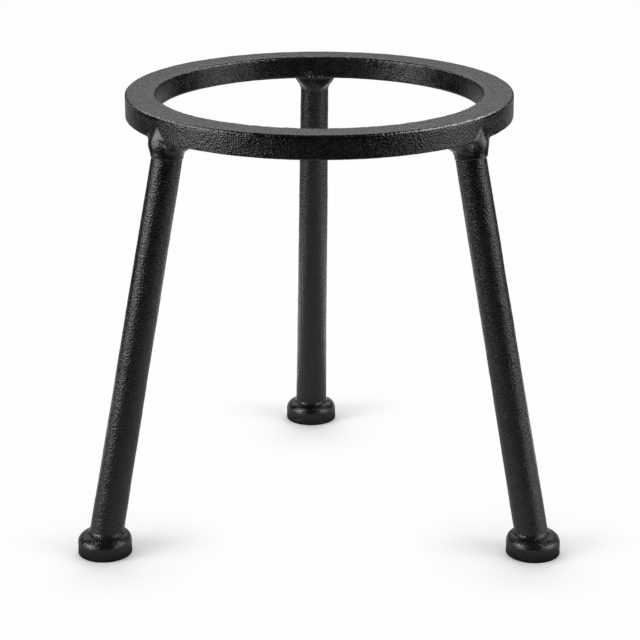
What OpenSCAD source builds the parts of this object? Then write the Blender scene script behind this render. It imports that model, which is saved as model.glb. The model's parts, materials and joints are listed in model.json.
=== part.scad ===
// Lab tripod stand: a flat steel ring carried by three splayed round legs.
// Each leg ends in a forged disc foot and is welded under the ring.
// Millimetres, +Z up, +Y towards the back leg. The origin is on the bench,
// on the centre line of the ring.

/* [Stand] */
// Height of the ring's top face above the bench
stand_height = 173; // [120:1:240]

/* [Ring] */
// Outer diameter of the ring
ring_outer_d = 150; // [120:1:180]
// Width of the ring's flat band, from its outer wall to the hole
ring_width = 11.7; // [10.5:0.1:14]
// Thickness of the ring
ring_thickness = 8.8; // [6:0.1:12]
// Rounding of the ring's four edges
ring_edge = 0.9; // [0.4:0.1:1.5]

/* [Legs] */
// Diameter of each leg at the underside of the ring
leg_top_d = 11.5; // [9:0.1:12]
// Diameter of the two front legs at their feet
front_leg_foot_d = 13.1; // [11.5:0.1:14.5]
// Diameter of the back leg at its foot
back_leg_foot_d = 13.6; // [11.5:0.1:14.5]
// Directions of the leg tops round the ring: left, right and back, in degrees
top_angles = [217.5, 322, 91.6];
// Directions of the feet seen from the centre line: left, right and back, in degrees
foot_angles = [210.2, 329.4, 92.3];
// Distance of the two front feet from the centre line
front_foot_reach = 96.8; // [85:0.1:110]
// Distance of the back foot from the centre line
back_foot_reach = 94; // [85:0.1:110]

/* [Feet] */
// Diameter of the two front feet
front_foot_d = 21.1; // [19:0.1:26]
// Diameter of the back foot
back_foot_d = 22.2; // [19:0.1:26]
// Height of the upright rim of a foot
foot_rim = 4.5; // [2:0.1:6]
// Radius of the rounded shoulder above the rim
foot_shoulder = 3.9; // [3:0.1:4.5]
// Radius of the hollow between the shoulder and the leg
foot_hollow = 2; // [1:0.1:2.5]
// Bevel round the sole
sole_bevel = 0.5; // [0.2:0.1:1]

/* [Welds] */
// Depth of the front welds, down the leg from the ring
front_weld_depth = 9; // [7:0.1:12]
// Depth of the back weld
back_weld_depth = 6.4; // [6:0.1:12]
// How far a front weld spreads along the ring, beyond the side of its leg
front_weld_spread = 8.5; // [4:0.1:10]
// How far the back weld spreads along the ring
back_weld_spread = 3.8; // [3:0.1:10]
// Height of the sloping flank of a weld, below the ring
weld_flank = 6; // [4:0.1:6]
// Thickness of the weld metal that laps down the leg
weld_lap = 0.4; // [0.2:0.1:1]
// Radius of the lump of weld metal on the outer wall above each front leg
lump_r = 6; // [5:0.1:7]
// How far the lump stands out from the ring's outer wall
lump_proud = 2; // [1:0.1:2.5]
// How far the middle of the lump lies below the ring
lump_below = 2; // [1:0.1:3]

/* [Hidden] */
$fn = 96;

LEFT = 0;
RIGHT = 1;
BACK = 2;
paint = [0.09, 0.09, 0.095];
weld_paint = [0.13, 0.13, 0.135];

ring_outer_r = ring_outer_d / 2;
ring_inner_r = ring_outer_r - ring_width;
ring_middle_r = (ring_outer_r + ring_inner_r) / 2;
underside = stand_height - ring_thickness;

leg_foot_ds = [front_leg_foot_d, front_leg_foot_d, back_leg_foot_d];
foot_reaches = [front_foot_reach, front_foot_reach, back_foot_reach];
foot_ds = [front_foot_d, front_foot_d, back_foot_d];
weld_depths = [front_weld_depth, front_weld_depth, back_weld_depth];
weld_spreads = [front_weld_spread, front_weld_spread, back_weld_spread];

axis_height = foot_rim - 0.5;   // a leg's axis crosses its foot's axis at this height
root_sink = 2;                  // how far a leg's round bar runs down inside its foot
neck_sink = 0.3;                // how far the hollow of a foot ends inside the leg
overrun = 4;                    // spare length that is cut off at the ring's underside
hole_gap = 0.05;                // the welds stay this far outside the ring's hole
arc_steps = 10;

function arc(centre, r, from, to) =
    [for (k = [0:arc_steps])
        let (a = from + (to - from) * k / arc_steps)
        centre + r * [cos(a), sin(a)]];

// Points where the axis of leg i crosses the ring's underside and its foot's axis
function leg_top(i) =
    [ring_middle_r * cos(top_angles[i]), ring_middle_r * sin(top_angles[i]), underside];
function foot_place(i) =
    [foot_reaches[i] * cos(foot_angles[i]), foot_reaches[i] * sin(foot_angles[i]), 0];
function leg_base(i) = foot_place(i) + [0, 0, axis_height];
function leg_run(i) = leg_top(i) - leg_base(i);
function leg_radius(i, along) =
    leg_foot_ds[i] / 2 + (leg_top_d - leg_foot_ds[i]) / 2 * along / norm(leg_run(i));

// Stands its children on the axis of leg i, with +Z up the leg from its foot
module on_leg(i) {
    run = leg_run(i);
    translate(leg_base(i))
        rotate([0, acos(run.z / norm(run)), atan2(run.y, run.x)])
            children();
}

// Everything above a height
module above(z) {
    size = 2 * (front_foot_reach + ring_outer_d);
    translate([-size / 2, -size / 2, z])
        cube([size, size, stand_height]);
}

module ring() {
    low = ring_edge;
    high = ring_thickness - ring_edge;
    near = ring_inner_r + ring_edge;
    far = ring_outer_r - ring_edge;
    color(paint)
        translate([0, 0, underside])
            rotate_extrude()
                polygon(concat(
                    arc([far, low], ring_edge, -90, 0),
                    arc([far, high], ring_edge, 0, 90),
                    arc([near, high], ring_edge, 90, 180),
                    arc([near, low], ring_edge, 180, 270)));
}

// A disc foot with a round shoulder that hollows into the leg
module foot(i) {
    r = foot_ds[i] / 2;
    neck = leg_foot_ds[i] / 2 - neck_sink;
    shoulder = [r - foot_shoulder, foot_rim];
    reach = foot_shoulder + foot_hollow;
    turn = acos((neck + foot_hollow - shoulder.x) / reach);
    hollow = shoulder + reach * [cos(turn), sin(turn)];
    translate(foot_place(i))
        rotate_extrude()
            polygon(concat(
                [[0, 0], [r - sole_bevel, 0], [r, sole_bevel]],
                arc(shoulder, foot_shoulder, 0, turn),
                arc(hollow, foot_hollow, 180 + turn, 180),
                [[0, hollow.y]]));
}

module leg(i) {
    length = norm(leg_run(i));
    color(paint)
        difference() {
            union() {
                foot(i);
                on_leg(i)
                    translate([0, 0, -root_sink])
                        cylinder(h = length + root_sink + overrun,
                                 r1 = leg_radius(i, -root_sink),
                                 r2 = leg_radius(i, length + overrun));
            }
            above(underside);
        }
}

// The weld metal round the top of leg i: a lap down the leg and a sloping flank to the ring
module weld_lap(i) {
    length = norm(leg_run(i));
    depth = weld_depths[i];
    on_leg(i)
        translate([0, 0, length - depth])
            cylinder(h = depth + overrun,
                     r1 = leg_radius(i, length - depth) + weld_lap,
                     r2 = leg_radius(i, length + overrun) + weld_lap);
}

module weld_flank(i) {
    length = norm(leg_run(i));
    foot_r = leg_top_d / 2 + weld_lap;
    slope = weld_spreads[i] / weld_flank;
    on_leg(i)
        translate([0, 0, length - weld_flank])
            cylinder(h = weld_flank + overrun,
                     r1 = foot_r,
                     r2 = foot_r + slope * (weld_flank + overrun));
}

// The band of space straight under the flat of the ring's underside
module ring_shadow() {
    translate([0, 0, underside - weld_flank - overrun])
        difference() {
            cylinder(h = stand_height, r = ring_outer_r - ring_edge);
            translate([0, 0, -1])
                cylinder(h = stand_height + 2, r = ring_inner_r + ring_edge);
        }
}

module lump(i) {
    middle_r = ring_outer_r + lump_proud - lump_r;
    rotate([0, 0, top_angles[i]])
        translate([middle_r, 0, underside - lump_below])
            sphere(r = lump_r);
}

// The space on the inner side of leg i, under the ring's hole, which its weld leaves open
module inner_side(i) {
    size = 2 * ring_inner_r;
    rotate([0, 0, top_angles[i]])
        translate([ring_inner_r + hole_gap - size, -size / 2, 0])
            cube([size, size, stand_height]);
}

module weld(i) {
    color(weld_paint)
        difference() {
            union() {
                difference() {
                    union() {
                        weld_lap(i);
                        intersection() {
                            weld_flank(i);
                            ring_shadow();
                        }
                    }
                    above(underside);
                }
                if (i != BACK) lump(i);
            }
            leg(i);
            ring();
            inner_side(i);
        }
}

ring();
leg(LEFT);  // leg_left
leg(RIGHT);  // leg_right
leg(BACK);  // leg_back
weld(LEFT);  // weld_left
weld(RIGHT);  // weld_right
weld(BACK);  // weld_back
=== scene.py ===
"""Lab tripod stand: a flat ring welded to three splayed legs with disc feet, in black textured paint.

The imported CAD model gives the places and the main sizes. Each CAD node is replaced by a finer mesh
of the same piece: rounded and slightly uneven, with weld metal that flows into the ring and the leg.
Lengths are metres unless a name or a comment says otherwise.
"""

import json
import math

import bpy
import numpy as np
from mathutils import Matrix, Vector


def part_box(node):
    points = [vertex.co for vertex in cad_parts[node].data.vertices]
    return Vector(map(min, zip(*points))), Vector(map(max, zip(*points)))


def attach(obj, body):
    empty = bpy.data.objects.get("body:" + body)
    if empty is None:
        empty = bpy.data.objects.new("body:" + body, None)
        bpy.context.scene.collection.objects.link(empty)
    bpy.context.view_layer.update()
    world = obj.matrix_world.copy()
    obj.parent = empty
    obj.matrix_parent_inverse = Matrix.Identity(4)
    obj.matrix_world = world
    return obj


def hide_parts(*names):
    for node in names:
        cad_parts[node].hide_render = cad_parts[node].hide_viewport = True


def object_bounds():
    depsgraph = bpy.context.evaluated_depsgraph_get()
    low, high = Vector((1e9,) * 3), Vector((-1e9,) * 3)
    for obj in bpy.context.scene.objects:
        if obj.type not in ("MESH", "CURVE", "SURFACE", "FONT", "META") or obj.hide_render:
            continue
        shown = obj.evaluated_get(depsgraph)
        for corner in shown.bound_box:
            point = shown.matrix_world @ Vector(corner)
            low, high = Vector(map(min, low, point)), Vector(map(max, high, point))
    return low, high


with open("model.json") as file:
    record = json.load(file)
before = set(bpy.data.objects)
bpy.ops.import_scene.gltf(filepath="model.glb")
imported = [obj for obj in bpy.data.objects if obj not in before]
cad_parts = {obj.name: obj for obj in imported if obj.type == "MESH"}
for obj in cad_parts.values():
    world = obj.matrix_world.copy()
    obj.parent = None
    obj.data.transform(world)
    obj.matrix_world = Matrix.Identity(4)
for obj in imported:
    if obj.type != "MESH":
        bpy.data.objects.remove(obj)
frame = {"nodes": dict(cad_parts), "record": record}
cad_low, cad_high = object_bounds()

MM = 0.001


# ---------------------------------------------------------------- camera

FOCAL_MM = 113.18
SENSOR_MM = 36.0
CAMERA_DISTANCE = 0.7638  # from the ring's centre line, along -Y
CAMERA_RISE = 0.1675  # above the ring's top face
CAMERA_PITCH = 18.906  # degrees below the horizon
CAMERA_YAW = -0.02  # degrees


def make_camera():
    data = bpy.data.cameras.new("camera")
    data.lens = FOCAL_MM
    data.sensor_width = SENSOR_MM
    camera = bpy.data.objects.new("camera", data)
    camera.location = (0.0, -CAMERA_DISTANCE, cad_high.z + CAMERA_RISE)
    camera.rotation_euler = (math.radians(90 - CAMERA_PITCH), 0.0, math.radians(CAMERA_YAW))
    bpy.context.scene.collection.objects.link(camera)
    bpy.context.scene.camera = camera


# ---------------------------------------------------------------- sizes from the frame

mounts = {mount["name"]: mount for mount in frame["record"]["mounts"]}
ring_low, ring_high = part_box("ring")
RING_OUTER = ring_high.x
RING_INNER = mounts["ring_hole"]["dims"]["r_mm"] * MM
RING_TOP = ring_high.z
UNDERSIDE = ring_low.z
# the painted ring has a slightly narrower hole and a slightly lower underside than the plain one
BAND_INNER = RING_INNER - 0.35 * MM
BAND_UNDERSIDE = UNDERSIDE - 0.3 * MM

SIDES = ("left", "right", "back")
AXIS_HEIGHT = 4.0 * MM  # a leg's axis crosses its foot's centre line at this height
LEG_TOP_R = 5.75 * MM
LEG_ROOT_R = {"left": 6.55 * MM, "right": 6.55 * MM, "back": 6.8 * MM}
NEAR_UNDERSIDE = 0.01 * MM  # points this close to the ring's underside are the leg's top


def cad_points(node):
    """The vertices of a CAD node as an array."""
    mesh = frame["nodes"][node].data
    points = np.empty(len(mesh.vertices) * 3, np.float32)
    mesh.vertices.foreach_get("co", points)
    return points.reshape(-1, 3).astype(float)


class Leg:
    """Where one leg stands, read from its CAD node and the mount under its foot."""

    def __init__(self, side):
        points = cad_points("leg_" + side)
        top = points[points[:, 2] > UNDERSIDE - NEAR_UNDERSIDE]
        low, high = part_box("leg_" + side)
        self.side = side
        self.seed = SIDES.index(side)
        self.top = (top.max(0) + top.min(0)) / 2
        self.foot = np.array(mounts["sole_" + side]["pos_m"])
        self.foot_r = high.x - self.foot[0] if side == "right" else self.foot[0] - low.x
        self.base = self.foot + [0, 0, AXIS_HEIGHT]
        run = self.top - self.base
        self.length = np.linalg.norm(run)
        self.axis = run / self.length
        self.lean = run[:2] / run[2]
        self.stretch = np.linalg.norm([*self.lean, 1.0])  # the length of axis to a unit of height
        self.out = self.top[:2] / np.linalg.norm(self.top[:2])

    def radius(self, along):
        """Radius of the round bar at a distance up its axis from the base."""
        root_r = LEG_ROOT_R[self.side]
        return root_r + (LEG_TOP_R - root_r) * along / self.length


LEGS = [Leg(side) for side in SIDES]


# ---------------------------------------------------------------- noise and mesh helpers

TINY = 1e-15  # keeps a normal of no length from a division by zero


def even_ramp(value, start, end):
    """Rises evenly from 0 at start to 1 at end."""
    return np.clip((value - start) / (end - start), 0, 1)


def ramp(value, start, end):
    """The same with smooth ends."""
    share = even_ramp(value, start, end)
    return share * share * (3 - 2 * share)


def lattice(x, y, z, seed):
    """A repeatable number from -1 to 1 for each whole-number point."""
    code = x * 374761393 + y * 668265263 + z * 2147483647 + seed * 1274126177
    code = (code ^ (code >> 13)) * 1103515245 & 0xFFFFFFFF
    code = (code ^ (code >> 16)) * 2246822519 & 0xFFFFFFFF
    return (code ^ (code >> 15)) / 0x7FFFFFFF - 1.0


def noise(points, size, seed):
    """Smooth noise from -1 to 1 at the points, with lumps about size across."""
    places = points / size
    cell = np.floor(places).astype(np.int64)
    within = places - cell
    after = within * within * within * (within * (within * 6 - 15) + 10)
    weights = (1 - after, after)
    total = np.zeros(len(points))
    for dx in (0, 1):
        for dy in (0, 1):
            for dz in (0, 1):
                weight = weights[dx][:, 0] * weights[dy][:, 1] * weights[dz][:, 2]
                corner = cell + (dx, dy, dz)
                total += weight * lattice(*corner.T, seed)
    return total


def unevenness(points, waves, more_seed=0):
    """The sum of several noises, each given as its height, its size and its seed."""
    return sum(height * noise(points, size, seed + more_seed) for height, size, seed in waves)


def tube_faces(rows, columns, closed=False):
    """Quads of a tube of points, row by row. Each row is a loop, and a closed tube is one itself."""
    row = np.arange(rows if closed else rows - 1)
    row, column = np.meshgrid(row, np.arange(columns), indexing="ij")
    this_row, next_row = row * columns, (row + 1) % rows * columns
    after = (column + 1) % columns
    quads = np.stack([this_row + column, this_row + after, next_row + after, next_row + column], -1)
    return quads.reshape(-1, 4).tolist()


def tube_ends(rows, columns):
    """The two faces that shut the ends of an open tube."""
    last = (rows - 1) * columns
    return [list(range(columns - 1, -1, -1)), list(range(last, last + columns))]


def tube_normals(points, rows, columns, closed=False):
    """Unit normals of a tube of points, from the differences along and round it."""
    grid = points.reshape(rows, columns, 3)
    ahead, behind = np.roll(grid, -1, 0), np.roll(grid, 1, 0)
    if not closed:
        ahead[-1], behind[0] = grid[-1], grid[0]
    round_it = np.roll(grid, -1, 1) - np.roll(grid, 1, 1)
    normals = np.cross(round_it, ahead - behind)
    length = np.linalg.norm(normals, axis=-1, keepdims=True)
    return (normals / np.maximum(length, TINY)).reshape(-1, 3)


def make_piece(name, points, faces, material):
    """A smooth-shaded mesh object on the root body."""
    mesh = bpy.data.meshes.new(name)
    mesh.from_pydata(points.tolist(), [], faces)
    mesh.update()
    mesh.polygons.foreach_set("use_smooth", [True] * len(mesh.polygons))
    piece = bpy.data.objects.new(name, mesh)
    bpy.context.scene.collection.objects.link(piece)
    mesh.materials.append(material)
    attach(piece, "root")
    return piece


# ---------------------------------------------------------------- node helpers
# a value is a number or a socket

def add_node(tree, kind, **values):
    """A node with some of its inputs and settings set."""
    node = tree.nodes.new(kind)
    for key, value in values.items():
        if key in node.inputs:
            node.inputs[key].default_value = value
        else:
            setattr(node, key, value)
    return node


def feed(tree, socket, value):
    """Sets a socket to a number, or links it to another socket."""
    if isinstance(value, (int, float)):
        socket.default_value = value
    else:
        tree.links.new(value, socket)


def math_node(tree, operation, *values):
    node = add_node(tree, "ShaderNodeMath", operation=operation)
    for socket, value in zip(node.inputs, values):
        feed(tree, socket, value)
    return node.outputs[0]


def plus(tree, first, second):
    return math_node(tree, "ADD", first, second)


def minus(tree, first, second):
    return math_node(tree, "SUBTRACT", first, second)


def times(tree, first, second):
    return math_node(tree, "MULTIPLY", first, second)


def distance_node(tree, x, y):
    """How far (x, y) lies from (0, 0)."""
    return math_node(tree, "SQRT", plus(tree, times(tree, x, x), times(tree, y, y)))


def stretched(tree, value, source, target=(0.0, 1.0), **values):
    """The value's range from one pair of values stretched to another pair, and cut off there."""
    node = add_node(tree, "ShaderNodeMapRange", **values)
    names = ("Value", "From Min", "From Max", "To Min", "To Max")
    for name, each_value in zip(names, (value, *source, *target)):
        feed(tree, node.inputs[name], each_value)
    return node.outputs["Result"]


def mixed(tree, factor, low, high):
    """Low where the factor is 0 and high where it is 1."""
    return stretched(tree, factor, (0.0, 1.0), (low, high))


def smooth_step(tree, value, start, end):
    """Rises smoothly from 0 at start to 1 at end."""
    return stretched(tree, value, (start, end), interpolation_type="SMOOTHSTEP")


def window(tree, value, low, high, soft):
    """1 between low and high, and 0 outside, with edges as wide as soft."""
    rise = smooth_step(tree, value, low - soft / 2, low + soft / 2)
    fall = smooth_step(tree, value, high + soft / 2, high - soft / 2)
    return times(tree, rise, fall)


def split_node(tree, vector):
    """The three parts of a vector."""
    node = add_node(tree, "ShaderNodeSeparateXYZ")
    tree.links.new(vector, node.inputs[0])
    return node.outputs


def grey_node(tree, level):
    """The colour with this level in all three channels."""
    node = add_node(tree, "ShaderNodeCombineColor")
    for channel in ("Red", "Green", "Blue"):
        tree.links.new(level, node.inputs[channel])
    return node.outputs["Color"]


def texture_node(tree, place, kind, output="Fac", **values):
    node = add_node(tree, kind, **values)
    tree.links.new(place, node.inputs["Vector"])
    return node.outputs[output]


# ---------------------------------------------------------------- paint

PAINT_IOR = 1.6
# how many cells, folds, specks and clouds of its textures lie side by side in a metre
CELLS = 1500.0
FOLDS = 1300.0
SPECKS = 1500.0
CLOUDS = 220.0
CLOUD_RANGE = (0.3, 0.7)  # the clouds' values between which roughness and colour change
CLOUD_GLOSS = 0.08  # how far the clouds change the roughness either way
CLOUD_TINT = (0.6, 1.4)  # what the clouds multiply the colour by
SPECK_GLOSS_RANGE = (0.35, 0.65)  # the specks' values between which the roughness changes
SPECK_TINT_RANGE = (0.40, 0.70)  # and the colour

SLEEK_GRAIN = 0.75  # the share of the grain that is left where the paint is sleek
SLEEK_GLOSS = 0.12  # how much less rough it is there
SLEEK_FOOT = (11.0 * MM, 7.0 * MM)  # the heights between which a leg's paint turns sleek
# the ring's paint turns sleek between these depths within its outer wall and below its top face
SLEEK_EDGE_WITHIN = (0.8 * MM, 0.5 * MM)
SLEEK_EDGE_BELOW = (1.7 * MM, 1.3 * MM)
BORE_GRAIN = 0.6  # the share of the grain that is left on the ring's inner wall
BORE_WITHIN = (0.8 * MM, 0.4 * MM)  # the depths within that wall between which the grain is lost


def sleek_feet(tree, place):
    """The share of a leg's grain that is left, and the change in its roughness."""
    foot = smooth_step(tree, split_node(tree, place)["Z"], *SLEEK_FOOT)
    return mixed(tree, foot, 1.0, SLEEK_GRAIN), mixed(tree, foot, 0.0, -SLEEK_GLOSS)


def sleek_edge(tree, place):
    """The same of the ring, whose upper outer edge is sleek and whose inner wall has less grain."""
    parts = split_node(tree, place)
    reach = distance_node(tree, parts["X"], parts["Y"])
    outer = smooth_step(tree, reach, *[RING_OUTER - depth for depth in SLEEK_EDGE_WITHIN])
    upper = smooth_step(tree, parts["Z"], *[RING_TOP - depth for depth in SLEEK_EDGE_BELOW])
    edge = times(tree, outer, upper)
    bore = smooth_step(tree, reach, *[BAND_INNER + depth for depth in BORE_WITHIN])
    share = times(tree, mixed(tree, edge, 1.0, SLEEK_GRAIN), mixed(tree, bore, 1.0, BORE_GRAIN))
    return share, mixed(tree, edge, 0.0, -SLEEK_GLOSS)


def paint(name, roughness, grain, speckle, shades, sleek=None):
    """Black textured paint.

    grain is the height of its bumps, speckle is how far its specks change the roughness either way,
    and shades are its darkest and lightest grey. sleek makes the share of the grain that is left and
    the change in roughness, from place to place.
    """
    material = bpy.data.materials.new(name)
    material.use_nodes = True
    tree = material.node_tree
    place = add_node(tree, "ShaderNodeTexCoord").outputs["Object"]
    cells = texture_node(tree, place, "ShaderNodeTexVoronoi", "Distance",
                         feature="SMOOTH_F1", Scale=CELLS, Smoothness=0.35)
    folds = texture_node(tree, place, "ShaderNodeTexNoise", Scale=FOLDS, Detail=3.0, Distortion=0.6)
    specks = texture_node(tree, place, "ShaderNodeTexNoise", Scale=SPECKS, Detail=2.0)
    clouds = texture_node(tree, place, "ShaderNodeTexNoise", Scale=CLOUDS, Detail=5.0, Roughness=0.6)
    height = plus(tree, cells, folds)
    cloud_gloss = (roughness - CLOUD_GLOSS, roughness + CLOUD_GLOSS)
    gloss = plus(tree,
                 stretched(tree, clouds, CLOUD_RANGE, cloud_gloss),
                 stretched(tree, specks, SPECK_GLOSS_RANGE, (speckle, -speckle)))
    if sleek:
        share, change = sleek(tree, place)
        height = times(tree, height, share)
        gloss = plus(tree, gloss, change)
    tint = times(tree,
                 stretched(tree, clouds, CLOUD_RANGE, CLOUD_TINT),
                 stretched(tree, specks, SPECK_TINT_RANGE, shades))
    bump = add_node(tree, "ShaderNodeBump", Distance=grain, Strength=1.0)
    tree.links.new(height, bump.inputs["Height"])
    shader = tree.nodes["Principled BSDF"]
    shader.inputs["IOR"].default_value = PAINT_IOR
    tree.links.new(bump.outputs["Normal"], shader.inputs["Normal"])
    tree.links.new(gloss, shader.inputs["Roughness"])
    tree.links.new(grey_node(tree, tint), shader.inputs["Base Color"])
    return material


BAR_SHADES = (0.0010, 0.0085)
WELD_SHADES = (0.007, 0.017)
RING_PAINT = paint("ring_paint", roughness=0.26, grain=0.14 * MM, speckle=0.12,
                   shades=BAR_SHADES, sleek=sleek_edge)
LEG_PAINT = paint("leg_paint", roughness=0.26, grain=0.145 * MM, speckle=0.12,
                  shades=BAR_SHADES, sleek=sleek_feet)
WELD_PAINT = paint("weld_paint", roughness=0.28, grain=0.05 * MM, speckle=0.08, shades=WELD_SHADES)


# ---------------------------------------------------------------- ring

RING_TURNS = 1000  # points round the ring
# the roundings of the ring's edges, across and up: the upper outer one is worn to a steep bevel,
# the upper inner one slopes gently, and the lower outer one is crisp
UPPER_OUTER = (0.6 * MM, 0.8 * MM)
UPPER_INNER = (1.0 * MM, 0.9 * MM)
LOWER_OUTER = (0.45 * MM, 0.45 * MM)
LOWER_INNER = (0.9 * MM, 0.9 * MM)
ROUND = 2.0  # the power of a round edge
BEVEL = 1.4  # and of the worn one
EDGE_POINTS = 8
RING_WAVES = ((0.030 * MM, 14 * MM, 1), (0.030 * MM, 4.5 * MM, 2), (0.022 * MM, 1.5 * MM, 3))
# the upper inner edge is ragged: that fades out between these widths from the hole's wall, and
# grows between these depths below the top face
RAGGED_WIDTH = (1.2 * MM, 3.0 * MM)
RAGGED_DEPTH = (1.6 * MM, 0.8 * MM)
RAGGED_WAVE = ((0.10 * MM, 1.3 * MM, 4),)
RAGGED_WEAR = 0.05 * MM  # how far that edge is worn down on average
# the upper outer edge has small nicks, which grow between these widths and these depths
NICKED_WIDTH = (0.9 * MM, 0.5 * MM)
NICKED_DEPTH = (1.4 * MM, 0.9 * MM)
NICKS = ((0.05 * MM, 0.9 * MM, 5), (0.05 * MM, 4.0 * MM, 6))
RING_SINK = 0.07 * MM  # how far the ring's surface lies inside the plain one's
RING_CREST = 0.065 * MM  # the most that it rises above that


def arc_points(centre, radius, start, end, steps, power=ROUND):
    """Points of an arc, or of an ellipse if radius is a pair. A lower power flattens it."""
    angles = np.radians(np.linspace(start, end, steps))
    way = np.stack([np.cos(angles), np.sin(angles)], 1)
    return centre + np.sign(way) * np.abs(way) ** (2 / power) * radius


def ring_section():
    """The closed outline of the ring's section, as (radius, height) points."""
    # each corner's place, the signs of the way into the steel, its edge, where its arc starts,
    # its power and the longest gap between points after it
    corners = [
        ((RING_OUTER, BAND_UNDERSIDE), (-1, 1), LOWER_OUTER, -90, ROUND, 0.45 * MM),
        ((RING_OUTER, RING_TOP), (-1, -1), UPPER_OUTER, 0, BEVEL, 0.45 * MM),
        ((BAND_INNER, RING_TOP), (1, -1), UPPER_INNER, 90, ROUND, 0.5 * MM),
        ((BAND_INNER, BAND_UNDERSIDE), (1, 1), LOWER_INNER, 180, ROUND, 0.9 * MM),
    ]
    bends = []
    for place, inwards, edge, start, power, _ in corners:
        centre = np.array(place) + np.array(inwards) * edge
        bends.append(arc_points(centre, edge, start, start + 90, EDGE_POINTS, power))
    points = []
    for bend, next_bend, (*_, gap) in zip(bends, bends[1:] + bends[:1], corners):
        run = next_bend[0] - bend[-1]
        count = max(2, int(np.linalg.norm(run) / gap))
        share = np.arange(1, count)[:, None] / count
        points += [bend, bend[-1] + run * share]
    return np.concatenate(points)[::-1]


def ring_lift(points, reach, height):
    """How far the ring's surface stands out from its plain form."""
    lift = unevenness(points, RING_WAVES)
    width = reach - BAND_INNER
    depth = RING_TOP - height
    ragged = (1 - ramp(width, *RAGGED_WIDTH)) * ramp(depth, *RAGGED_DEPTH)
    lift += ragged * (unevenness(points, RAGGED_WAVE) - RAGGED_WEAR)
    nicked = ramp(RING_OUTER - reach, *NICKED_WIDTH) * ramp(depth, *NICKED_DEPTH)
    lift += nicked * unevenness(points, NICKS)
    return np.minimum(lift, RING_CREST) - RING_SINK


def make_ring():
    section = ring_section()
    rows, columns = RING_TURNS, len(section)
    angle = np.repeat(np.linspace(0, 2 * math.pi, rows, endpoint=False), columns)
    reach, height = np.tile(section[:, 0], rows), np.tile(section[:, 1], rows)
    points = np.stack([reach * np.cos(angle), reach * np.sin(angle), height], -1)
    normals = tube_normals(points, rows, columns, closed=True)
    points = points + normals * ring_lift(points, reach, height)[:, None]
    piece = make_piece("ring_band", points, tube_faces(rows, columns, closed=True), RING_PAINT)
    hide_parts("ring")
    return piece


# ---------------------------------------------------------------- legs and feet

LEG_AROUND = 160  # points round a leg
BAR_STEP = 0.55 * MM  # between the loops of points up its bar
BAR_OVERRUN = 1.0 * MM  # how far the bar runs up into the ring
FOOT_RIM = 4.5 * MM  # height of the upright rim
SHOULDER_R = 3.9 * MM
HOLLOW_R = 2.0 * MM
NECK_PLACE = 8 * MM  # how far up its axis the bar has the radius of the neck
SOLE_EDGE = 0.5 * MM
SOLE_MIDDLE = 0.5 * MM  # radius of the innermost loop of the sole
FOOT_LOOPS = {"sole": 20, "edge": 5, "rim": 10, "shoulder": 20, "hollow": 14}
LEG_WAVES = ((0.07 * MM, 16 * MM, 11), (0.04 * MM, 5 * MM, 21), (0.03 * MM, 1.5 * MM, 31))
FOOT_WAVE = ((0.02 * MM, 2.6 * MM, 81),)
FOOT_SINK = 0.08 * MM  # how far a foot's surface lies inside the plain one's, which it never leaves
BAR_CREST = 0.2 * MM  # the most that the bar's surface rises above the plain one's
SOLE_FADE = 2 * MM  # the height over which the unevenness grows from none at the sole


def foot_outline(leg):
    """Half the outline of a foot, from the sole to the neck, as (radius, height) points."""
    shoulder = np.array([leg.foot_r - SHOULDER_R, FOOT_RIM])
    neck_middle = leg.radius(NECK_PLACE) + HOLLOW_R
    turn = math.acos((neck_middle - shoulder[0]) / (SHOULDER_R + HOLLOW_R))
    hollow = shoulder + (SHOULDER_R + HOLLOW_R) * np.array([math.cos(turn), math.sin(turn)])
    turn = math.degrees(turn)
    edge = np.array((leg.foot_r - SOLE_EDGE, SOLE_EDGE))
    sole_r = np.linspace(SOLE_MIDDLE, leg.foot_r - SOLE_EDGE, FOOT_LOOPS["sole"], endpoint=False)
    rim_z = np.linspace(SOLE_EDGE, FOOT_RIM, FOOT_LOOPS["rim"])[1:-1]
    return np.concatenate([
        np.stack([sole_r, np.zeros_like(sole_r)], 1),
        arc_points(edge, SOLE_EDGE, -90, 0, FOOT_LOOPS["edge"]),
        np.stack([np.full_like(rim_z, leg.foot_r), rim_z], 1),
        arc_points(shoulder, SHOULDER_R, 0, turn, FOOT_LOOPS["shoulder"]),
        arc_points(hollow, HOLLOW_R, 180 + turn, 180, FOOT_LOOPS["hollow"])[1:],
    ])


def leg_loops(leg, radius, height, bar):
    """Loops of points of a leg. bar grows from 0 at the foot's rim to 1 on the bar.

    The foot stands upright on round loops and the bar leans on oval ones.
    """
    angle = np.linspace(0, 2 * math.pi, LEG_AROUND, endpoint=False)
    circle = np.stack([np.cos(angle), np.sin(angle)], 1)
    across = leg.lean / np.linalg.norm(leg.lean)
    oval = circle + np.outer(circle @ across, across) * (leg.stretch - 1)
    share = bar[:, None, None]
    loops = circle * (1 - share) + oval * share
    centre = leg.foot[:2] + np.outer(ramp(bar, 0, 1) * (height - leg.base[2]), leg.lean)
    points = np.empty((len(height), LEG_AROUND, 3))
    points[:, :, :2] = centre[:, None, :] + loops * radius[:, None, None]
    points[:, :, 2] = height[:, None]
    return points.reshape(-1, 3)


def leg_lift(leg, points, bar):
    """How far a leg's surface stands out from its plain form."""
    lift = unevenness(points, LEG_WAVES, leg.seed)
    lift += unevenness(points, FOOT_WAVE, leg.seed) * (1 - bar)
    lift = np.minimum(lift - FOOT_SINK * (1 - bar), BAR_CREST * bar)
    return lift * even_ramp(points[:, 2], 0, SOLE_FADE)


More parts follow.
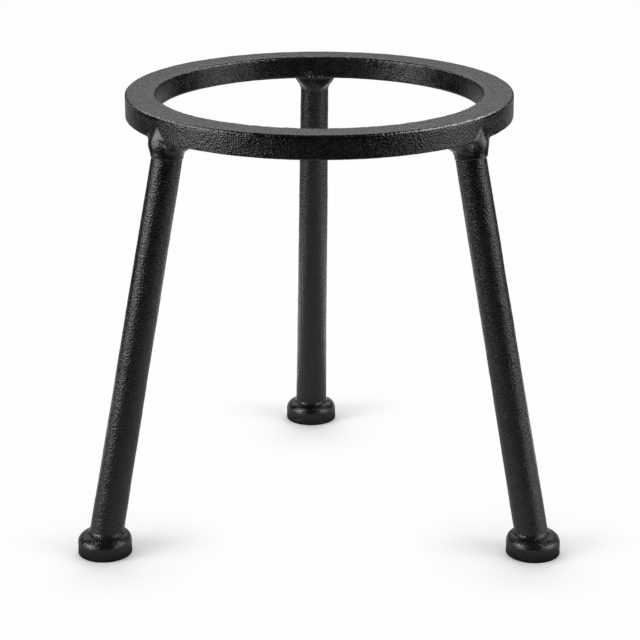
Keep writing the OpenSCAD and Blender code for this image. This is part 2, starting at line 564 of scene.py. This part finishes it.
def make_leg(leg):
    outline = foot_outline(leg)
    neck_z = outline[-1, 1]
    top_z = UNDERSIDE + BAR_OVERRUN
    bar_z = np.linspace(neck_z, top_z, int((top_z - neck_z) / BAR_STEP))[1:]
    bar_r = leg.radius((bar_z - leg.base[2]) * leg.stretch)
    radius = np.concatenate([outline[:, 0], bar_r])
    height = np.concatenate([outline[:, 1], bar_z])
    bar = even_ramp(height, FOOT_RIM, neck_z)
    rows = len(height)
    points = leg_loops(leg, radius, height, bar)
    normals = tube_normals(points, rows, LEG_AROUND)
    lift = leg_lift(leg, points, np.repeat(bar, LEG_AROUND))
    points = points + normals * lift[:, None]
    faces = tube_faces(rows, LEG_AROUND) + tube_ends(rows, LEG_AROUND)
    piece = make_piece(leg.side + "_leg", points, faces, LEG_PAINT)
    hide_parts("leg_" + leg.side)


# ---------------------------------------------------------------- welds

WELD_AROUND = 288  # points of a weld round its leg's axis
WELD_ROWS = 176
WELD_RISE = 88  # degrees from the weld's middle to its first and last rows
CENTRE_BELOW = 2.5 * MM  # the weld's middle lies this far down the axis from the leg's top
INSET = 0.12 * MM  # how far weld metal dips under the bar's and the ring's own surfaces
SHELL = 0.9 * MM  # how far a weld's piece reaches beyond its metal, into the steel
METAL_TOP = 0.5 * MM  # how far weld metal rises above the ring's underside, lumps apart
METAL_TOP_BLEND = 0.3 * MM
FLANK_COLLAR_BLEND = 0.9 * MM
STEEL_BLEND = 0.6 * MM  # width of the blend of weld metal into the steel, away from the lumps
# a lump widens that by its own blend less the first of these, and at most by the second, in mm
LUMP_SPREAD = (0.2, 0.6)
LUMP_REACH = (2 * MM, 1 * MM)  # the distances from the lump between which that grows
RING_EDGE = 0.9 * MM  # rounding of the steel ring's edges

# the flank slopes from the bar up to the ring's underside
REACH = {"left": 4.4 * MM, "right": 4.4 * MM, "back": 2.9 * MM}  # of the flank along the ring
FLANK = {"left": 4.4 * MM, "right": 4.4 * MM, "back": 4.6 * MM}  # height of the flank below the ring
# it grows between these turns round the bar from its outer side, in degrees
FLANK_TURN = {"left": (0, 38), "right": (0, 38), "back": (30, 60)}
FLANK_BULGE = 1.3  # a power over 1 bulges it
FLANK_END = 0.2 * MM  # how far below its height it is cut off
FLANK_END_BLEND = 0.5 * MM
WALL_GAP = 0.5 * MM  # how far it stays within the ring's walls
WALL_BLEND = 0.8 * MM

# the collar of weld metal round the bar: how far below the ring it ends, and its thickness
COLLAR = {"left": (6.6 * MM, 0.25 * MM), "right": (6.6 * MM, 0.25 * MM), "back": (4.6 * MM, 0.35 * MM)}
COLLAR_TAPER = 3.0 * MM  # the length over which it thins out down the bar
COLLAR_INNER = 0.45  # the share of its thickness that it lacks beside the flank
COLLAR_UNEVEN = ((0.3, 3.0 * MM, 45),)  # the share by which its thickness varies
COLLAR_WANDER = ((0.4 * MM, 3.5 * MM, 41),)  # how its end wanders up and down
COLLAR_TAIL = 0.5 * MM  # how far below its end it is cut off
COLLAR_TAIL_BLEND = 0.3 * MM
GROOVE = (0.2 * MM, 1.4 * MM)  # the depths below the ring between which it rises from the bar
GROOVE_WANDER = 0.5  # the share of the end's wander that the groove follows
SKIN = 0.15 * MM  # of weld metal on the bar between the collar and the ring

# lumps: place from the leg's top (outwards, round the ring, up), radii the same way, and blend, in mm
LUMPS = {
    "left": [
        ((1.9, -1.7, -1.8), (5.8, 5.2, 6.6), 2.0),
        ((5.3, -0.6, 2.0), (1.1, 1.4, 1.6), 1.0),
    ],
    "right": [
        ((1.7, 1.5, -1.8), (5.8, 5.2, 6.6), 2.0),
        ((5.3, 0.6, 2.0), (1.1, 1.4, 1.6), 1.0),
    ],
    "back": [
        ((-5.9, 3.4, 1.7), (0.6, 0.7, 0.7), 0.4),
        ((-5.9, 2.0, 2.2), (0.5, 0.5, 0.5), 0.4),
        ((-6.0, 1.7, 0.3), (0.9, 0.9, 0.8), 0.4),
        ((-6.0, -2.3, 0.0), (0.8, 0.8, 0.8), 0.4),
    ],
}
WELD_WAVES = ((0.12 * MM, 2.6 * MM, 51), (0.05 * MM, 1.3 * MM, 61), (0.015 * MM, 0.7 * MM, 71))
WAVES_FROM = (-0.05 * MM, 0.35 * MM)  # they grow between these distances outside the steel

# a ray steps out from the weld's middle until it leaves the weld
RAY_START = 0.2 * MM
RAY_STEPS = 80
RAY_STRIDE = 0.7  # the share of the distance to the surface that a step covers
RAY_LEAST = 0.02 * MM


def smooth_least(first, second, width):
    """The lower of two fields, blended over a width."""
    share = np.clip(0.5 + 0.5 * (second - first) / width, 0, 1)
    return second + (first - second) * share - width * share * (1 - share)


def smooth_most(first, second, width):
    """The higher of two fields, blended the same way."""
    return -smooth_least(-first, -second, width)


def ring_field(points):
    """Distance outside the ring's surface."""
    middle, half_width = (RING_OUTER + BAND_INNER) / 2, (RING_OUTER - BAND_INNER) / 2
    level, half_height = (RING_TOP + BAND_UNDERSIDE) / 2, (RING_TOP - BAND_UNDERSIDE) / 2
    across = np.abs(np.hypot(points[:, 0], points[:, 1]) - middle) - half_width + RING_EDGE
    up = np.abs(points[:, 2] - level) - half_height + RING_EDGE
    outside = np.hypot(np.maximum(across, 0), np.maximum(up, 0))
    return outside + np.minimum(np.maximum(across, up), 0) - RING_EDGE


def egg_field(points, centre, radii):
    """About the distance outside an egg shape."""
    return (np.linalg.norm((points - centre) / radii, axis=1) - 1) * min(radii)


class Weld:
    """The weld metal of one leg, as fields that are negative inside it."""

    def __init__(self, leg):
        self.leg = leg
        self.side = leg.side
        self.out = np.array([*leg.out, 0.0])
        self.round = np.array([-leg.out[1], leg.out[0], 0.0])
        self.centre = leg.top - leg.axis * CENTRE_BELOW

    def local(self, points):
        """Points as (outwards from the ring's centre line, round the ring, up) from the leg's top."""
        from_top = points - self.leg.top
        return np.stack([from_top @ self.out, from_top @ self.round, from_top[:, 2]], 1)

    def bar_field(self, points):
        """Distance outside the bar's surface, and how far up the axis from the leg's top."""
        from_base = points - self.leg.base
        along = from_base @ self.leg.axis
        off = np.linalg.norm(from_base - np.outer(along, self.leg.axis), axis=1)
        return off - self.leg.radius(along), along - self.leg.length

    def steel(self, points):
        """Distance outside the bar and the ring."""
        return np.minimum(ring_field(points), self.bar_field(points)[0])

    def flank(self, points, off, up, inward):
        """The flank, given the points' bar field and the share of its reach that it has there."""
        reach, height = REACH[self.side], FLANK[self.side]
        sink = even_ramp(-up, 0, height)
        flank = off - reach * inward * (1 - sink**FLANK_BULGE)
        flank = flank * math.cos(math.atan(reach / height))
        flank = smooth_most(flank, -(up + height + FLANK_END), FLANK_END_BLEND)
        from_middle = np.hypot(points[:, 0], points[:, 1])
        walls = np.maximum(RING_INNER + WALL_GAP - from_middle, from_middle - RING_OUTER + WALL_GAP)
        return smooth_most(flank, walls, WALL_BLEND)

    def collar(self, points, off, up, inward):
        """The collar, given the same."""
        end, thick = COLLAR[self.side]
        wander = unevenness(points, COLLAR_WANDER, self.leg.seed)
        uneven = unevenness(points, COLLAR_UNEVEN, self.leg.seed)
        swell = thick * (1 - COLLAR_INNER * inward) * (1 + uneven)
        # it starts under a groove below the ring and thins out down the bar, to end under its surface
        low = np.clip((end + up + wander) / COLLAR_TAPER, -1, 1)
        risen = swell * ramp(low, 0, 1) * ramp(-up + GROOVE_WANDER * wander, *GROOVE)
        collar = off - SKIN * (low > -1) - np.where(low > 0, risen, swell * low)
        return smooth_most(collar, -(up + end + wander + COLLAR_TAIL), COLLAR_TAIL_BLEND)

    def metal(self, points):
        """The weld metal and how widely it blends into the steel, at the points."""
        off, up = self.bar_field(points)
        local = self.local(points)
        turn = np.degrees(np.abs(np.arctan2(local[:, 1], local[:, 0])))
        inward = ramp(turn, *FLANK_TURN[self.side])
        flank = self.flank(points, off, up, inward)
        collar = self.collar(points, off, up, inward)
        metal = smooth_least(flank, collar, FLANK_COLLAR_BLEND)
        metal = smooth_most(metal, local[:, 2] - METAL_TOP, METAL_TOP_BLEND)
        spread = np.full(len(points), STEEL_BLEND)
        less, most = LUMP_SPREAD
        for place, radii, blend in LUMPS[self.side]:
            egg = egg_field(local, np.array(place) * MM, np.array(radii) * MM)
            metal = smooth_least(metal, egg, blend * MM)
            more = min(blend - less, most) * MM * even_ramp(egg, *LUMP_REACH)
            spread = np.maximum(spread, STEEL_BLEND + more)
        return metal, spread

    def field(self, points):
        metal, spread = self.metal(points)
        both = smooth_least(metal, self.steel(points) + INSET, spread)
        return np.maximum(both, metal - SHELL)


def weld_rays(weld):
    """Directions out of the weld's middle, row by row up the leg's axis."""
    axis = weld.leg.axis
    side = np.cross(axis, weld.out)
    side /= np.linalg.norm(side)
    front = np.cross(side, axis)
    around = np.linspace(0, 2 * math.pi, WELD_AROUND, endpoint=False)
    rise = np.radians(np.linspace(-WELD_RISE, WELD_RISE, WELD_ROWS))
    to_front = np.outer(np.cos(rise), np.cos(around)).ravel()
    to_side = np.outer(np.cos(rise), np.sin(around)).ravel()
    up = np.repeat(np.sin(rise), WELD_AROUND)
    return np.outer(to_front, front) + np.outer(to_side, side) + np.outer(up, axis)


def ray_lengths(weld, rays):
    """How far each ray runs before it leaves the weld."""
    lengths = np.full(len(rays), RAY_START)
    inside = np.arange(len(rays))
    for _ in range(RAY_STEPS):
        value = weld.field(weld.centre + rays[inside] * lengths[inside, None])
        inside, value = inside[value < 0], value[value < 0]
        if not len(inside):
            break
        lengths[inside] += np.maximum(-value * RAY_STRIDE, RAY_LEAST)
    return lengths


def make_weld(leg):
    weld = Weld(leg)
    rays = weld_rays(weld)
    points = weld.centre + rays * ray_lengths(weld, rays)[:, None]
    bare = even_ramp(weld.steel(points), *WAVES_FROM)
    points += rays * (unevenness(points, WELD_WAVES, leg.seed) * bare)[:, None]
    faces = tube_faces(WELD_ROWS, WELD_AROUND) + tube_ends(WELD_ROWS, WELD_AROUND)
    piece = make_piece(leg.side + "_weld", points, faces, WELD_PAINT)
    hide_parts("weld_" + leg.side)


# ---------------------------------------------------------------- floor
# directions are degrees round from the front, and more than 0 to the right

FLOOR_R = 6.0
FLOOR_SIDES = 64
FLOOR_ROUGHNESS = 0.7
FLOOR_WHITE = 0.990  # how bright the floor shows where nothing shades it
FLOOR_LIGHT = 1.045  # how bright the lamps and the room would make a white floor at the feet
FLOOR_SHADE = 0.95  # the floor's own grey at the feet, where it takes their shadows
FLOOR_SHADE_FAR = 0.02  # and away from them, where it shows white by itself
SHADE_REACH = (0.052, 0.012)  # the distances from a foot's centre between which it changes
# painted reflection: how brightly the floor glows for gloss alone, so that it shows in the paint:
# direction of the middle of each patch, half its width in degrees (180 is all round), its nearest and
# farthest reach from the centre line, and its level
MIRRORED = {
    "back": (180, 80, 0.14, 0.32, 1.1),
    "front_near": (0, 45, 0.14, 0.205, 0.24),
    "front": (0, 45, 0.205, 0.32, 0.49),
    "right": (65, 13, 0.14, 0.32, 1.1),
    "left_side": (-80, 22, 0.14, 0.30, 0.38),
    "right_side": (89, 12, 0.14, 0.30, 0.35),
    "under": (0, 180, 0.0, 0.14, 0.42),
    "far": (180, 45, 0.32, 3.0, 0.37),
}
PATCH_SOFT = 0.02  # width of a patch's near and far edges
PATCH_TURN = 5  # how many degrees its soft sides reach either way
FLOOR_FROM_ABOVE = 0.45  # painted reflection: how bright it shows instead where it is seen steeply, near the stand
STEEP_FACING = (0.30, 0.12)  # the Facing values between which a view turns steep
STEEP_REACH = (0.34, 0.30)  # and the distances from the centre line within which that counts
CONTACT_SHADE_LEVEL = 0.2  # painted contact shade: the share of the mirrored brightness that is left at a foot's rim
CONTACT_SHADE_REACH = 12.0 * MM  # how far outside the rim that share grows to 1, where the painted shade ends


def patch_node(tree, x, y, reach, middle, half, near, far):
    """1 on a patch of the floor and 0 outside it."""
    patch = window(tree, reach, near, far, PATCH_SOFT)
    if half == 180:
        return patch
    sine, cosine = math.sin(math.radians(middle)), math.cos(math.radians(middle))
    along = plus(tree, times(tree, x, sine), times(tree, y, -cosine))
    across = plus(tree, times(tree, x, cosine), times(tree, y, sine))
    turn = math_node(tree, "ABSOLUTE", math_node(tree, "ARCTAN2", across, along))
    ends = (math.radians(half + PATCH_TURN), math.radians(half - PATCH_TURN))
    return times(tree, patch, smooth_step(tree, turn, *ends))


def mirrored_floor(tree, x, y):
    """How bright the floor shows in the paint: a painted reflection that glows for gloss alone."""
    reach = distance_node(tree, x, y)
    total = 0.0
    for *patch, level in MIRRORED.values():
        total = plus(tree, total, times(tree, patch_node(tree, x, y, reach, *patch), level))
    facing = add_node(tree, "ShaderNodeLayerWeight", Blend=0.5).outputs["Facing"]
    close = smooth_step(tree, reach, *STEEP_REACH)
    steep = times(tree, smooth_step(tree, facing, *STEEP_FACING), close)
    return mixed(tree, steep, total, FLOOR_FROM_ABOVE)


def foot_nodes(tree, x, y):
    """How close the nearest foot is, from 0 to 1, and the share of the floor's glow that is left
    outside the rims, where painted contact shade darkens it.
    """
    close, clear = 0.0, 1.0
    for leg in LEGS:
        from_x = minus(tree, x, float(leg.foot[0]))
        from_y = minus(tree, y, float(leg.foot[1]))
        reach = distance_node(tree, from_x, from_y)
        close = math_node(tree, "MAXIMUM", close, smooth_step(tree, reach, *SHADE_REACH))
        # painted contact shade: the floor's glow is darkened near each foot's rim
        outside = smooth_step(tree, reach, leg.foot_r, leg.foot_r + CONTACT_SHADE_REACH)
        clear = math_node(tree, "MINIMUM", clear, outside)
    return close, clear


def floor_material():
    """Takes shadows at the feet, shows white elsewhere, and shows in gloss as the mirrored floor: a
    painted reflection that glows for gloss alone, with painted contact shade at the feet.
    """
    material = bpy.data.materials.new("floor")
    material.use_nodes = True
    tree = material.node_tree
    path = add_node(tree, "ShaderNodeLightPath").outputs
    place = split_node(tree, add_node(tree, "ShaderNodeTexCoord").outputs["Object"])
    x, y = place["X"], place["Y"]
    close, clear = foot_nodes(tree, x, y)
    shade = mixed(tree, close, FLOOR_SHADE_FAR, FLOOR_SHADE)
    lit = times(tree, shade, minus(tree, 1.0, path["Is Glossy Ray"]))
    seen = math_node(tree, "MAXIMUM", path["Is Camera Ray"], path["Is Transmission Ray"])
    seen = times(tree, seen, minus(tree, FLOOR_WHITE, times(tree, shade, FLOOR_LIGHT)))
    # painted reflection: the floor glows in patches that only gloss shows
    glow = times(tree, path["Is Glossy Ray"], mirrored_floor(tree, x, y))
    # painted contact shade darkens that glow beside the feet
    glow = times(tree, glow, mixed(tree, clear, CONTACT_SHADE_LEVEL, 1.0))
    shader = tree.nodes["Principled BSDF"]
    shader.inputs["Roughness"].default_value = FLOOR_ROUGHNESS
    shader.inputs["Specular IOR Level"].default_value = 0.0
    shader.inputs["Emission Color"].default_value = (1, 1, 1, 1)
    tree.links.new(grey_node(tree, lit), shader.inputs["Base Color"])
    tree.links.new(plus(tree, seen, glow), shader.inputs["Emission Strength"])
    return material


def make_floor():
    mesh = bpy.data.meshes.new("floor")
    angle = np.linspace(0, 2 * math.pi, FLOOR_SIDES, endpoint=False)
    rim = np.stack([FLOOR_R * np.cos(angle), FLOOR_R * np.sin(angle), 0 * angle], 1)
    mesh.from_pydata(rim.tolist(), [], [list(range(FLOOR_SIDES))])
    floor = bpy.data.objects.new("floor", mesh)
    floor.location.z = cad_low.z
    bpy.context.scene.collection.objects.link(floor)
    mesh.materials.append(floor_material())


# ---------------------------------------------------------------- room and lamps

ROOM = 0.09  # the room's brightness round the stand
BACKDROP = 1.2  # and on the backdrop, which is behind the stand
BACKDROP_BACK = (0.35, 0.65)  # it begins where a direction points this far back
BACKDROP_UP = (0.34, 0.76)  # and lies between these parts upwards of it
BACKDROP_SOFT = 0.12

AIM = (0.0, 0.0, 0.09)  # the lamps face this point
# lamps: direction and height of their middle in degrees, distance, width, height and radiance
SOFTBOXES = {
    "left_side": (-75, 6, 0.50, 0.13, 0.26, 3.3),
    "left_low": (-55, 8, 1.50, 0.60, 0.52, 2.6),
    "left_wide": (-67, 8, 1.50, 1.20, 0.52, 1.25),
    "left_up": (-65, 24, 1.50, 0.80, 0.40, 5.4),
    "left_high": (-75, 48, 0.60, 0.10, 0.10, 5.4),
    "right_near": (75, 6, 0.50, 0.13, 0.26, 1.8),
    "right_side": (90, 6, 0.50, 0.13, 0.26, 1.5),
    "right_wide": (67, 8, 1.50, 1.20, 0.52, 1.2),
    "right_up": (65, 24, 1.50, 0.80, 0.40, 2.7),
    "right_high": (75, 48, 0.60, 0.10, 0.10, 8.3),
    "back": (180, 42, 0.50, 0.35, 0.35, 0.57),
}
# lamps that only the ring's gloss shows
GLINTS = {
    "left_edge": (-102, 32, 0.60, 0.60, 0.20, 3.2),
    "right_edge": (86, 38, 0.60, 0.76, 0.18, 7.5),
}
# lamps that no gloss shows
HIDDEN = {
    "ceiling": (0, 89.9, 1.30, 3.40, 3.40, 0.62),
    "behind": (180, 45, 1.30, 1.20, 0.50, 1.6),
}


def make_world():
    """White to the camera, and a dim room with a bright backdrop to the stand."""
    world = bpy.data.worlds.new("world")
    bpy.context.scene.world = world
    world.use_nodes = True
    tree = world.node_tree
    tree.nodes.clear()
    path = add_node(tree, "ShaderNodeLightPath").outputs
    way = split_node(tree, add_node(tree, "ShaderNodeTexCoord").outputs["Generated"])
    behind = smooth_step(tree, way["Y"], *BACKDROP_BACK)
    level_band = window(tree, way["Z"], *BACKDROP_UP, BACKDROP_SOFT)
    level = mixed(tree, times(tree, behind, level_band), ROOM, BACKDROP)
    seen = math_node(tree, "MAXIMUM", path["Is Camera Ray"], path["Is Transmission Ray"])
    background = add_node(tree, "ShaderNodeBackground")
    tree.links.new(math_node(tree, "MAXIMUM", seen, level), background.inputs["Strength"])
    out = add_node(tree, "ShaderNodeOutputWorld")
    tree.links.new(background.outputs[0], out.inputs["Surface"])


def softbox(name, turn, rise, distance, width, height, radiance):
    """A rectangular lamp that faces the stand."""
    data = bpy.data.lights.new(name, "AREA")
    data.shape = "RECTANGLE"
    data.size, data.size_y = width, height
    data.energy = radiance * math.pi * width * height
    lamp = bpy.data.objects.new(name, data)
    turn, rise = math.radians(turn), math.radians(rise)
    way = Vector((math.sin(turn) * math.cos(rise), -math.cos(turn) * math.cos(rise), math.sin(rise)))
    lamp.location = Vector(AIM) + way * distance
    lamp.rotation_euler = (-way).to_track_quat("-Z", "Y").to_euler()
    bpy.context.scene.collection.objects.link(lamp)
    return lamp


def make_lamps(ring):
    """All the lamps. The glints are linked to the ring alone."""
    for name, values in SOFTBOXES.items():
        softbox(name, *values)
    for name, values in HIDDEN.items():
        lamp = softbox(name, *values)
        lamp.visible_glossy = False
    for name, values in GLINTS.items():
        lamp = softbox(name, *values)
        lamp.visible_diffuse = False
        receivers = bpy.data.collections.new(name)
        receivers.objects.link(ring)
        lamp.light_linking.receiver_collection = receivers


# ---------------------------------------------------------------- build

make_camera()
band = make_ring()
for each in LEGS:
    make_leg(each)
    make_weld(each)
make_floor()
make_world()
make_lamps(band)

bpy.context.scene.view_settings.view_transform = "Standard"
